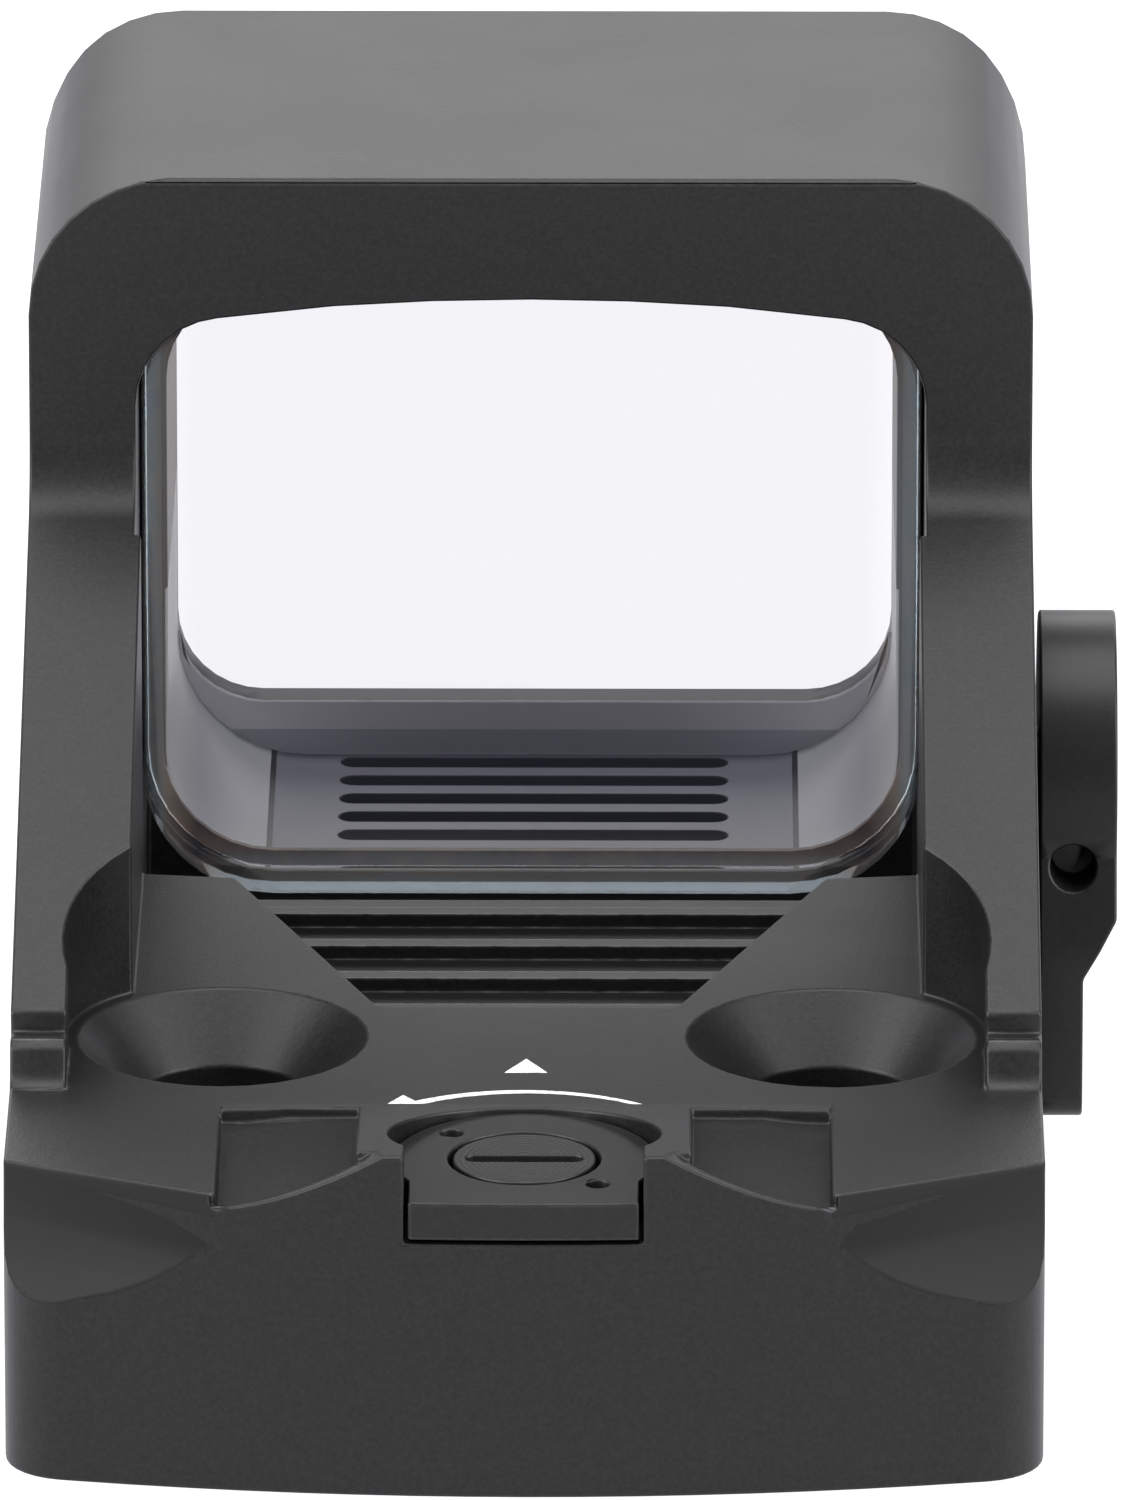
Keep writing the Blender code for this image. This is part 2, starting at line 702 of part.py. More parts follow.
def make_housing(surface):
    body = prism("housing", side_outline(), "X", -HALF - OVER, HALF + OVER, COLLECTION)
    combine(body, [prism("plan", plan_outline(), "Z", 0, TOP + OVER),
                   prism("front_view", front_outline(), "Y", along(-2), along(LENGTH + 2))],
            "INTERSECT", "MANIFOLD")
    combine(body, [ear_ramps()], "UNION", "MANIFOLD")
    seat = window_outline(SEAT_HALF, SEAT_BOTTOM, SEAT_TOP, SEAT_LOW_CORNER, SEAT_HIGH_CORNER)
    bore = window_outline(BORE_HALF, BORE_BOTTOM, BORE_TOP, BORE_CORNER, BORE_CORNER)
    cavity = window_outline(BORE_HALF, FRONT_FLOOR, BORE_TOP, CAVITY_CORNER, BORE_CORNER)
    tools = [
        prism("window_seat", seat, "Y", along(POCKET_FRONT + 2.0), along(SEAT_FRONT)),
        prism("window_bore", bore, "Y", along(SEAT_FRONT - 0.2), along(LENGTH + OVER)),
        prism("front_cavity", cavity, "Y", along(SEAT_FRONT - 0.1), along(LENGTH - FRONT_LIP)),
        box("between_columns", (-COLUMN_INNER, COLUMN_INNER),
            (along(BOLT_FROM_REAR), along(HOOD_REAR + 0.5)), (DECK, SEAT_TOP - 5.0)),
        box("between_feet", (-FOOT_INNER, FOOT_INNER), (along(EAR_RUN), along(BOLT_FROM_REAR + 0.5)),
            (DECK, COLUMN_FOOT_Z + 2.0)),
        prism("pocket", pocket_outline(0), "Z", POCKET_FLOOR, DECK + OVER),
        prism("turret_recess", turret_recess(GAP), "Z", TURRET_LOW - GAP, TOP),
        rod("elevation_bore", "Z", (0, along(TURRET_FROM_REAR)), CHAMBER_TOP - OVER, DECK,
            SHANK_R + RUN),
        box("chamber_top", (-CHAMBER_HALF + NUDGE, CHAMBER_HALF - NUDGE),
            (along(CHAMBER_REAR + NUDGE), along(NOSE_REAR + OVER)), (CHAMBER_FLOOR, CHAMBER_TOP)),
        box("chamber_nose", (-NOSE_HALF, NOSE_HALF), (along(NOSE_REAR), along(POCKET_REAR + 0.8)),
            (CHAMBER_FLOOR + NUDGE, NOSE_TOP)),
        prism("cover_recess", cover_outline(0), "Z", -OVER, COVER_DEEP),
    ]
    tools += bay_boxes(-OVER) + battery_tools() + windage_tools() + glare_slots() + button_tools()
    for side in (-1, 1):
        tools += bolt_tools(side)
        tools += [valley(side), lip_shoulder(side), scoop(side)]
        outer = sorted((side * (FOOT_INNER - OVER), side * (HALF + OVER)))
        tools.append(box("foot_groove", outer, (along(COLUMN_FOOT - 0.62), along(COLUMN_FOOT - 0.12)),
                         (COLUMN_FOOT_Z - 0.55, TOP)))
    for x, place in COVER_SCREWS:
        tools.append(rod("cover_thread", "Z", (x, along(place)), COVER_DEEP - OVER,
                         COVER_SCREW_LONG + 0.4, COVER_SCREW_R + RUN, steps=16))
    return finish(combine(body, tools, solver="MANIFOLD"), surface)


# ---------------------------------------------------------------- optics

def make_lens(glass, glue):
    inset = GAP
    outline = window_outline(SEAT_HALF - inset, SEAT_BOTTOM + inset, SEAT_TOP - inset,
                             SEAT_LOW_CORNER - inset, SEAT_HIGH_CORNER - inset)
    lens = prism("window_lens", outline, "Y", along(LENS_REAR), along(LENS_REAR + LENS_THICK),
                 COLLECTION)
    finish(lens, glass)
    front = SEAT_FRONT - GAP
    bond = prism("lens_bond", outline, "Y", along(front - BOND_THICK), along(front), COLLECTION)
    hole = window_outline(SEAT_HALF - BOND_WIDTH, SEAT_BOTTOM + BOND_WIDTH, SEAT_TOP - BOND_WIDTH,
                          SEAT_LOW_CORNER - BOND_WIDTH, SEAT_HIGH_CORNER - BOND_WIDTH)
    opening = prism("bond_opening", hole, "Y", along(front - OVER), along(front + OVER))
    finish(combine(bond, [opening]), glue)


def make_floor_plate(surface):
    low = POCKET_FLOOR + GAP
    plate = prism("glare_plate", pocket_outline(GAP), "Z", low, low + PLATE_THICK, COLLECTION)
    ribs = []
    for k in range(RIBS):
        place = along(LENS_REAR - RIB_FIRST - k * RIB_PITCH)
        outline = rectangle(-COLUMN_INNER, COLUMN_INNER, place - RIB_WIDE / 2, place + RIB_WIDE / 2)
        rib = prism(f"rib_{k}", outline, "Z", low + PLATE_THICK / 2, low + PLATE_THICK + RIB_TALL)
        trim = prism(f"rib_trim_{k}", pocket_outline(GAP * 1.5), "Z", 0, DECK)
        ribs.append(combine(rib, [trim], "INTERSECT"))
    return finish(combine(plate, ribs, "UNION"), surface)


# ---------------------------------------------------------------- adjusters

def slotted_head(head, shank, slot):
    combine(head, [shank], "UNION")
    return combine(head, [slot])


def make_turret(surface, steel):
    y = along(TURRET_FROM_REAR)
    plate = prism("turret_plate", turret_recess(0), "Z", TURRET_LOW, DECK, COLLECTION)
    tools = [rod("dial_room", "Z", (0, y), 0, TOP, DIAL_R + RUN)]
    for side in (-1, 1):
        reach = SPANNER_HOLE_AT / math.sqrt(2) * side
        tools.append(rod("spanner_hole", "Z", (-reach, y + reach), DECK - 0.5, TOP,
                         SPANNER_HOLE_R, steps=12))
    trim = prism("tail_trim", plan_outline(), "Z", 0, TOP)
    combine(plate, [trim], "INTERSECT")
    finish(combine(plate, tools), surface)
    low = DECK - DIAL_THICK
    dial = rod("elevation_screw", "Z", (0, y), low, DECK, DIAL_R, COLLECTION)
    shank = rod("elevation_shank", "Z", (0, y), HOLDER_LOW + HOLDER_TALL + ADJUST_TRAVEL + GAP,
                low + JOIN, SHANK_R, steps=20)
    outline = slot_outline(0, y, DIAL_R - 0.5, DRIVER_SLOT_WIDE / 2)
    slot = prism("elevation_slot", outline, "Z", DECK - DRIVER_SLOT_DEEP, TOP)
    slotted_head(dial, shank, slot)
    finish(dial, steel, (0, y, DECK))


def make_windage(steel):
    y = along(WINDAGE_FROM_REAR)
    face = HALF - GAP
    head = rod("windage_screw", "X", (y, WINDAGE_Z), face - WINDAGE_HEAD + GAP, face,
               WINDAGE_HEAD_R, COLLECTION)
    tip = CRADLE_HALF + ADJUST_TRAVEL + GAP
    shank = rod("windage_shank", "X", (y, WINDAGE_Z), tip, face - WINDAGE_HEAD + 0.3, SHANK_R,
                steps=20)
    outline = slot_outline(y, WINDAGE_Z, WINDAGE_HEAD_R - 0.5, DRIVER_SLOT_WIDE / 2)
    slot = prism("windage_slot", outline, "X", face - DRIVER_SLOT_DEEP, HALF + OVER)
    slotted_head(head, shank, slot)
    finish(head, steel, (face, y, WINDAGE_Z))


def coil(name, axis, centre, low, high, surface):
    """A compression spring: a helix of COIL_TURNS turns between low and high."""
    curve = bpy.data.curves.new(name, "CURVE")
    curve.dimensions = "3D"
    curve.bevel_depth = COIL_WIRE * MM
    curve.bevel_resolution = 1
    curve.use_fill_caps = True
    spline = curve.splines.new("POLY")
    count = COIL_TURNS * COIL_STEPS + 1
    spline.points.add(count - 1)
    for k, point in enumerate(spline.points):
        t = k / (count - 1)
        angle = 2 * math.pi * COIL_TURNS * t
        rise = low + COIL_WIRE + (high - low - 2 * COIL_WIRE) * t
        a = COIL_R * math.cos(angle)
        b = COIL_R * math.sin(angle)
        spot = {"X": (rise, centre[0] + a, centre[1] + b), "Z": (centre[0] + a, centre[1] + b, rise)}
        point.co = (*[value * MM for value in spot[axis]], 1)
    made = bpy.data.objects.new(name, curve)
    bpy.data.collections[COLLECTION].objects.link(made)
    curve.materials.append(surface)


def make_emitter(alloy, plastic, led, steel):
    rear = along(CRADLE_REAR)
    front = along(CRADLE_FRONT)
    cradle = box("emitter_cradle", (-CRADLE_HALF, CRADLE_HALF), (rear, front),
                 (CRADLE_LOW, CRADLE_LOW + CRADLE_TALL), COLLECTION)
    inner = CRADLE_HALF - CRADLE_WALL
    trough = box("cradle_trough", (-inner, inner), (rear - OVER, front + OVER),
                 (CRADLE_LOW + CRADLE_BASE, TOP))
    finish(combine(cradle, [trough]), alloy)

    top = HOLDER_LOW + HOLDER_TALL
    holder = box("emitter_holder", (-HOLDER_HALF, HOLDER_HALF), (rear, along(HOLDER_FRONT)),
                 (HOLDER_LOW, top), COLLECTION)
    upright = box("upright", (-UPRIGHT_HALF, UPRIGHT_HALF),
                  (along(HOLDER_FRONT - UPRIGHT_THICK), along(HOLDER_FRONT) - NUDGE),
                  (top - 0.5, UPRIGHT_TOP))
    spring_y = along(SPRING_FROM_REAR)
    bore = rod("spring_bore", "Z", (0, spring_y), 0, top - SPRING_ROOF, COIL_BORE, steps=20)
    combine(holder, [upright], "UNION")
    finish(combine(holder, [bore]), plastic)
    emitter_z = UPRIGHT_TOP - LED_DROP
    start = along(HOLDER_FRONT) + SOLDER
    emitter = rod("led_emitter", "Y", (0, emitter_z), start, start + LED_LONG, LED_R, COLLECTION,
                  steps=20)
    finish(emitter, led)
    coil("elevation_spring", "Z", (0, spring_y), CRADLE_LOW + CRADLE_BASE + SOLDER,
         top - SPRING_ROOF - ADJUST_TRAVEL - SPRING_CLEAR, steel)
    coil("windage_spring", "X", (along(WINDAGE_FROM_REAR), WINDAGE_Z),
         -CHAMBER_HALF - SPRING_BORE_LONG + SPRING_CLEAR,
         -CRADLE_HALF - ADJUST_TRAVEL - SPRING_CLEAR, steel)


# ---------------------------------------------------------------- electronics

def make_electronics(board_green, black, gold, copper):
    x = BOARD_X
    board = box("circuit_board", (x, x + BOARD_THICK), (along(BOARD_REAR), along(BOARD_FRONT)),
                (BOARD_LOW, BOARD_HIGH), COLLECTION)
    finish(board, board_green)
    thick, wide, tall = CHIP
    chip_y = along(CHIP_FROM_REAR)
    left = x + BOARD_THICK + SOLDER
    finish(box("controller_chip", (left, left + thick), (chip_y - wide / 2, chip_y + wide / 2),
               (CHIP_LOW, CHIP_LOW + tall), COLLECTION), black)
    for name, place in BUTTONS:
        switch = rod(name.replace("button", "switch"), "X", (along(place), BUTTON_Z),
                     x - SOLDER - SWITCH_TALL, x - SOLDER, SWITCH_R, COLLECTION, steps=20)
        finish(switch, gold)
    cell = along(CELL_FROM_REAR)
    contact = box("battery_contact_positive", (left, CONTACT_END),
                  (cell - CONTACT_HALF, cell + CONTACT_HALF),
                  (CONTACT_Z, CONTACT_Z + CONTACT_THICK), COLLECTION)
    finish(contact, gold)
    ground = box("battery_contact_negative", (left, TRAY_LEFT - GAP),
                 (cell - GROUND_FAR, cell - GROUND_NEAR), (GROUND_Z, GROUND_Z + CONTACT_THICK),
                 COLLECTION)
    finish(ground, gold)
    bend = along(FLEX_FROM_REAR)
    strip = [
        (left, bend - FLEX_HALF, 0),
        (-FLEX_HALF, bend - FLEX_HALF, 0.3),
        (-FLEX_HALF, along(FLEX_END), 0),
        (FLEX_HALF, along(FLEX_END), 0),
        (FLEX_HALF, bend + FLEX_HALF, 0.8),
        (left, bend + FLEX_HALF, 0),
    ]
    flex = prism("flex_cable", rounded(strip), "Z", FLEX_Z, FLEX_Z + FLEX_THICK, COLLECTION)
    finish(flex, copper)


def make_buttons(rubber):
    for name, place in BUTTONS:
        y = along(place)
        outline = slot_outline(y, BUTTON_Z, BUTTON_HALF, BUTTON_R)
        cap = prism(name, outline, "X", -HALF - BUTTON_PROUD, BUTTON_FOOT_X, COLLECTION)
        wide = slot_outline(y, BUTTON_Z, BUTTON_HALF, BUTTON_R + FLANGE_GROW)
        flange = prism(name + "_flange", wide, "X", FLANGE_X, FLANGE_X + BUTTON_FLANGE)
        combine(cap, [flange], "UNION")
        finish(cap, rubber, (-HALF, y, BUTTON_Z))


# ---------------------------------------------------------------- battery

def lobe_arc():
    """The round top of the side plate, in Y and Z, round the thumbscrew."""
    points = []
    for k in range(25):
        angle = -0.32 + (math.pi + 0.64) * k / 24
        y = along(LOBE_FROM_REAR) + LOBE_R * math.cos(angle)
        points.append((y, LOBE_Z + LOBE_R * math.sin(angle), 0))
    return points


def tray_plate_outline():
    """Side plate in Y and Z: a bar along the slot with a round lobe for the thumbscrew above it."""
    bar = [
        (along(PLATE_REAR), PLATE_HIGH, 0),
        (along(PLATE_REAR), PLATE_LOW, 0.6),
        (along(PLATE_FRONT), PLATE_LOW, 0.6),
        (along(PLATE_FRONT), PLATE_HIGH, 1.2),
        (along(LOBE_FROM_REAR) + LOBE_R + 0.5, PLATE_HIGH, 0),
    ]
    return rounded(lobe_arc() + bar)


def make_boss():
    """The thick round part of the side plate, tapered down to the bar's thickness at its foot."""
    ahead = along(LOBE_FROM_REAR) + LOBE_R + 0.5
    foot = [
        (along(PLATE_REAR), PLATE_HIGH, 0),
        (along(PLATE_REAR), BOSS_LOW, 0),
        (ahead, BOSS_LOW, 0),
        (ahead, PLATE_HIGH, 0),
    ]
    boss = prism("boss", rounded(lobe_arc() + foot), "X", PLATE_X + PLATE_OUT / 2, BOSS_X)
    rise = (BOSS_TAPER_TOP - BOSS_TAPER_FOOT) / (BOSS_OUT - PLATE_OUT)
    thin = PLATE_X + PLATE_OUT - NUDGE
    taper = [
        (thin, BOSS_LOW - OVER),
        (BOSS_X + OVER, BOSS_LOW - OVER),
        (BOSS_X + OVER, BOSS_TAPER_TOP + rise * OVER),
        (thin, BOSS_TAPER_FOOT - rise * NUDGE),
    ]
    return combine(boss, [prism("boss_taper", taper, "Y", along(0), along(LENGTH))])


def make_tray(alloy, cell_steel, rubber, steel):
    cell = along(CELL_FROM_REAR)
    lobe_y = along(LOBE_FROM_REAR)
    plate = prism("battery_tray", tray_plate_outline(), "X", PLATE_X, PLATE_X + PLATE_OUT,
                  COLLECTION)
    drawer = box("drawer", (TRAY_LEFT, PLATE_X + JOIN), (cell - TRAY_HALF, cell + TRAY_HALF),
                 (TRAY_LOW, TRAY_TOP))
    combine(plate, [drawer, make_boss()], "UNION")
    combine(plate, [
        rod("cell_pocket", "Z", (0, cell), TRAY_LOW + TRAY_FLOOR, TOP, CELL_R + GAP, steps=48),
        rod("knob_hole", "X", (lobe_y, LOBE_Z), HALF, KNOB_X + OVER, KNOB_SHANK_R + RUN),
        rod("knob_seat", "X", (lobe_y, LOBE_Z), KNOB_X - GAP, BOSS_X + OVER, KNOB_R + RUN, steps=48),
        rod("pry_hole", "Y", (PLATE_X + PRY_X, PRY_Z), lobe_y - LOBE_R - OVER,
            lobe_y - LOBE_R + PRY_DEEP, PRY_R, steps=20),
    ])
    finish(plate, alloy, (PLATE_X, cell, TRAY_LOW))
    battery = rod("battery_cell", "Z", (0, cell), CELL_Z, CELL_Z + CELL_THICK, CELL_R, COLLECTION,
                  steps=48)
    finish(battery, cell_steel)

    inner = TRAY_HALF + SEAL_CLEAR
    seal_outer = rectangle(cell - inner - SEAL_WIDE, cell + inner + SEAL_WIDE,
                           TRAY_LOW - SEAL_WIDE + NUDGE, TRAY_TOP + SEAL_WIDE + GAP, SEAL_CORNER)
    seal = prism("tray_seal", seal_outer, "X", HALF - SEAL_THICK, PLATE_X - GAP, COLLECTION)
    seal_inner = rectangle(cell - inner, cell + inner, TRAY_LOW - SEAL_CLEAR, TRAY_TOP + GAP,
                           SEAL_CLEAR)
    opening = prism("seal_opening", seal_inner, "X", 0, HALF + OVER)
    finish(combine(seal, [opening]), rubber)

    knob = rod("tray_thumbscrew", "X", (lobe_y, LOBE_Z), KNOB_X, KNOB_X + KNOB_THICK, KNOB_R,
               COLLECTION, steps=48)
    shank = rod("thumbscrew_shank", "X", (lobe_y, LOBE_Z), HALF - KNOB_SHANK + GAP, KNOB_X + JOIN,
                KNOB_SHANK_R, steps=20)
    outline = slot_outline(lobe_y, LOBE_Z, KNOB_R - 0.8, KNOB_SLOT_WIDE / 2)
    slot = prism("coin_slot", outline, "X", KNOB_X + KNOB_THICK - KNOB_SLOT_DEEP, BOSS_X + OVER)
    slotted_head(knob, shank, slot)
    finish(knob, steel, (KNOB_X, lobe_y, LOBE_Z))


# ---------------------------------------------------------------- bottom cover

def make_cover(alloy, rubber, steel):
    low = COVER_DEEP - GAP - GASKET_THICK - GASKET_GAP - COVER_THICK
    cover = prism("bottom_cover", cover_outline(GAP), "Z", low, low + COVER_THICK, COLLECTION)
    gasket_low = low + COVER_THICK + GASKET_GAP
    gasket = prism("cover_gasket", cover_outline(GAP * 2), "Z", gasket_low,
                   gasket_low + GASKET_THICK, COLLECTION)
    openings = bay_boxes(-OVER)
    for x, place in COVER_SCREWS:
        spot = (x, along(place))
        head = COVER_SCREW_HEAD_R + GAP
        openings.append(rod("gasket_hole", "Z", spot, -OVER, DECK, COVER_SCREW_R + 0.2, steps=16))
        combine(cover, [
            rod("cover_hole", "Z", spot, -OVER, DECK, COVER_SCREW_R + RUN, steps=20),
            cone("cover_sink", "Z", spot, low - 0.1, low + COVER_SCREW_HEAD + GAP, head,
                 COVER_SCREW_R, steps=20),
        ], solver="MANIFOLD")
    finish(cover, alloy)
    finish(combine(gasket, openings, solver="MANIFOLD"), rubber)
    for k, (x, place) in enumerate(COVER_SCREWS, 1):
        spot = (x, along(place))
        screw = cone(f"cover_screw_{k}", "Z", spot, low, low + COVER_SCREW_HEAD,
                     COVER_SCREW_HEAD_R, COVER_SCREW_R, COLLECTION, steps=20)
        shank = rod(f"cover_shank_{k}", "Z", spot, low + COVER_SCREW_HEAD - 0.1,
                    COVER_SCREW_LONG, COVER_SCREW_R, steps=16)
        socket = rod(f"cover_socket_{k}", "Z", spot, -OVER, low + 0.3, 0.35, steps=6)
        slotted_head(screw, shank, socket)
        finish(screw, steel)


def main():
    for old in list(bpy.data.objects):
        bpy.data.objects.remove(old)
    for name in (COLLECTION, "cutters"):
        if name not in bpy.data.collections:
            bpy.context.scene.collection.children.link(bpy.data.collections.new(name))
    anodised = material("anodised_black", (0.03, 0.03, 0.032), 0.45, 0.6)
    turned = material("turned_black", (0.04, 0.04, 0.042), 0.35, 0.7)
    glass = material("coated_glass", (0.75, 0.8, 0.88), 0.05, 0.0)
    glue = material("bonding_cement", (0.12, 0.1, 0.08), 0.5, 0.0)
    rubber = material("black_rubber", (0.02, 0.02, 0.02), 0.8, 0.0)
    plastic = material("black_plastic", (0.03, 0.03, 0.03), 0.5, 0.0)
    steel = material("steel", (0.5, 0.5, 0.5), 0.3, 1.0)
    gold = material("gold_plate", (0.8, 0.6, 0.25), 0.3, 1.0)
    green = material("board_green", (0.02, 0.12, 0.05), 0.4, 0.0)
    copper = material("flex_amber", (0.45, 0.2, 0.05), 0.4, 0.0)
    red = material("emitter_red", (0.6, 0.03, 0.02), 0.3, 0.0)

    make_housing(anodised)
    make_lens(glass, glue)
    make_floor_plate(anodised)
    make_turret(turned, turned)
    make_windage(turned)
    make_emitter(turned, plastic, red, steel)
    make_electronics(green, plastic, gold, copper)
    make_buttons(rubber)
    make_tray(turned, steel, rubber, turned)
    make_cover(anodised, rubber, steel)


main()
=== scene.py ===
"""Looks for the micro reflex red dot finder: camera, floor, light, painted mark and node materials."""

import json
import math

import bmesh
import bpy
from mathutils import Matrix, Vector


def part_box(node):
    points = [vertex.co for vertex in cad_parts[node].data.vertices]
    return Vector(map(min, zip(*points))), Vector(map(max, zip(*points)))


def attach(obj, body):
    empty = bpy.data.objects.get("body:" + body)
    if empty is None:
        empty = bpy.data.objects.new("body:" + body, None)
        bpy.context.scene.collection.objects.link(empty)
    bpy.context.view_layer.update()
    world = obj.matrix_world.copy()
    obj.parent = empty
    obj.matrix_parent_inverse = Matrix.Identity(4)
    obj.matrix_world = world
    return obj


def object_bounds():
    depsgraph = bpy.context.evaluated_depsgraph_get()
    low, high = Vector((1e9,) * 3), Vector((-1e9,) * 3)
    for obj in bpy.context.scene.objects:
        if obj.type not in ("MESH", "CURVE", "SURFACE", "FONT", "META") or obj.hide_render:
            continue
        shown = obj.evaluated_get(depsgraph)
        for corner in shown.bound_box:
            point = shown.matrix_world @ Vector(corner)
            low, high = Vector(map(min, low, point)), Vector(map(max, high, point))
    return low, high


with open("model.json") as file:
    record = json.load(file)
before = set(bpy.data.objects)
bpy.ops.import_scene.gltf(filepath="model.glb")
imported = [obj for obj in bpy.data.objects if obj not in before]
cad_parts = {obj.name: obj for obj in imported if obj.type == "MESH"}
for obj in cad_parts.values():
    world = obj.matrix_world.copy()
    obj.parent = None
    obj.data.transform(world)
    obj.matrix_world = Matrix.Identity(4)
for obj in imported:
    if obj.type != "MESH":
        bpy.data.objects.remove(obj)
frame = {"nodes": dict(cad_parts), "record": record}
nodes = frame["nodes"]
cad_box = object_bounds()
MM = 0.001
SHARP_DEGREES = 28


# ---------------------------------------------------------------- node helpers

def new_material(name, rough=0.5, metal=0.0):
    """A material with an empty look, and its node tree and Principled shader."""
    made = bpy.data.materials.new(name)
    made.use_nodes = True
    tree = made.node_tree
    shader = tree.nodes["Principled BSDF"]
    shader.inputs["Roughness"].default_value = rough
    shader.inputs["Metallic"].default_value = metal
    return made, tree, shader


def feed(tree, socket, value):
    """Links an output to a socket, or sets a plain value on it."""
    if isinstance(value, bpy.types.NodeSocket):
        tree.links.new(value, socket)
    else:
        socket.default_value = value


def place_mm(tree, centre=(0.0, 0.0, 0.0)):
    """Object coordinates in millimetres, measured from a centre given in metres."""
    coords = tree.nodes.new("ShaderNodeTexCoord").outputs["Object"]
    shift = tree.nodes.new("ShaderNodeVectorMath")
    shift.operation = "SUBTRACT"
    tree.links.new(coords, shift.inputs[0])
    shift.inputs[1].default_value = centre
    grow = tree.nodes.new("ShaderNodeVectorMath")
    grow.operation = "SCALE"
    tree.links.new(shift.outputs[0], grow.inputs[0])
    grow.inputs["Scale"].default_value = 1000.0
    return grow.outputs[0]


def stretched(tree, place, factors):
    node = tree.nodes.new("ShaderNodeVectorMath")
    node.operation = "MULTIPLY"
    tree.links.new(place, node.inputs[0])
    node.inputs[1].default_value = factors
    return node.outputs[0]


def noise(tree, place, per_mm, detail=3.0, rough=0.55):
    node = tree.nodes.new("ShaderNodeTexNoise")
    tree.links.new(place, node.inputs["Vector"])
    node.inputs["Scale"].default_value = per_mm
    node.inputs["Detail"].default_value = detail
    node.inputs["Roughness"].default_value = rough
    return node.outputs[0]


def span(tree, value, low, high, a, b):
    """Maps low..high onto a..b, clamped."""
    node = tree.nodes.new("ShaderNodeMapRange")
    node.clamp = True
    feed(tree, node.inputs["Value"], value)
    for name, number in (("From Min", low), ("From Max", high), ("To Min", a), ("To Max", b)):
        node.inputs[name].default_value = number
    return node.outputs[0]


def math_node(tree, operation, a, b=0.0):
    node = tree.nodes.new("ShaderNodeMath")
    node.operation = operation
    feed(tree, node.inputs[0], a)
    feed(tree, node.inputs[1], b)
    return node.outputs[0]


def blend_colour(tree, factor, a, b):
    node = tree.nodes.new("ShaderNodeMix")
    node.data_type = "RGBA"
    feed(tree, node.inputs["Factor"], factor)
    for socket, value in ((node.inputs[6], a), (node.inputs[7], b)):
        feed(tree, socket, value if isinstance(value, bpy.types.NodeSocket) else (*value, 1.0))
    return node.outputs[2]


def split(tree, place):
    node = tree.nodes.new("ShaderNodeSeparateXYZ")
    tree.links.new(place, node.inputs[0])
    return node.outputs


def bump(tree, height, strength, depth_mm, normal=None):
    node = tree.nodes.new("ShaderNodeBump")
    node.inputs["Strength"].default_value = strength
    node.inputs["Distance"].default_value = depth_mm * MM
    tree.links.new(height, node.inputs["Height"])
    if normal:
        tree.links.new(normal, node.inputs["Normal"])
    return node.outputs[0]


def round_normal(tree, radius_mm):
    node = tree.nodes.new("ShaderNodeBevel")
    node.samples = 8
    node.inputs["Radius"].default_value = radius_mm * MM
    return node.outputs[0]


def edge_mask(tree, radius_mm, low, high):
    """0 on open surfaces, rising to 1 along edges."""
    near = round_normal(tree, radius_mm)
    dot = tree.nodes.new("ShaderNodeVectorMath")
    dot.operation = "DOT_PRODUCT"
    tree.links.new(near, dot.inputs[0])
    tree.links.new(tree.nodes.new("ShaderNodeNewGeometry").outputs["Normal"], dot.inputs[1])
    return span(tree, math_node(tree, "SUBTRACT", 1.0, dot.outputs["Value"]), low, high, 0.0, 1.0)


def step_between(tree, value, low, high):
    """1 where the value lies between low and high, else 0."""
    above = math_node(tree, "GREATER_THAN", value, low)
    return math_node(tree, "MULTIPLY", above, math_node(tree, "LESS_THAN", value, high))


def zone(tree, place, faces, x, y, z, facing):
    """1 on the faces inside a box in millimetres, mirrored in X, whose normal's axis lies in a range."""
    px, py, pz = split(tree, place)
    axis, low, high = facing
    mask = step_between(tree, faces[axis], low, high)
    for value, (start, end) in ((math_node(tree, "ABSOLUTE", px), x), (py, y), (pz, z)):
        mask = math_node(tree, "MULTIPLY", mask, step_between(tree, value, start, end))
    return mask


# ---------------------------------------------------------------- materials

